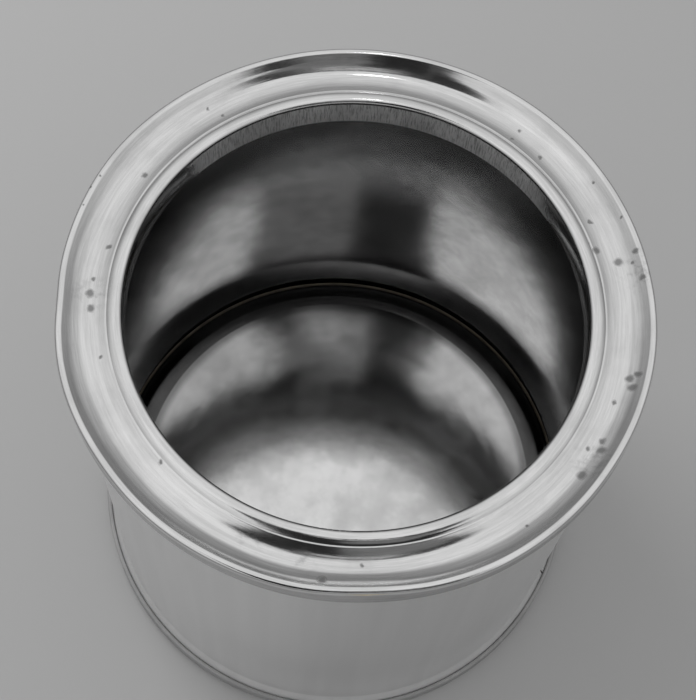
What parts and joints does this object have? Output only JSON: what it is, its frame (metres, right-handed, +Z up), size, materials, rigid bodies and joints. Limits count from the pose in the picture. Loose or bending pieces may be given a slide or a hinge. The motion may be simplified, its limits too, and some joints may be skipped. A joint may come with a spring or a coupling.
{
  "type": "tinplate can",
  "caption": "Open round can of bare bright tinplate, double seamed at both ends, with a channelled top ring round a wide mouth that a press-in lid would fit.",
  "frame": {"origin": "centre of the base, on the plane that the bottom seam stands on", "axes": "+Z up along the can's axis; -Y towards the picture's viewer; +X to the viewer's right"},
  "size_m": [0.0874, 0.0874, 0.084],
  "materials": {
    "body_tinplate": "bright rolled tinplate, mirror-like with soft streaks along the height",
    "ring_tinplate": "bright stamped tinplate with fine circular draw marks, small dark spots and nicks",
    "base_tinplate": "bright stamped tinplate, slightly duller inside, with stains",
    "solder": "dull soft solder",
    "seam_compound": "matt sealing compound"
  },
  "bodies": {
    "root": {"body_wall": "body_tinplate", "side_seam_solder": "solder", "top_ring": "ring_tinplate", "bottom_end": "base_tinplate", "top_seam_compound": "seam_compound", "bottom_seam_compound": "seam_compound"}
  },
  "joints": []
}
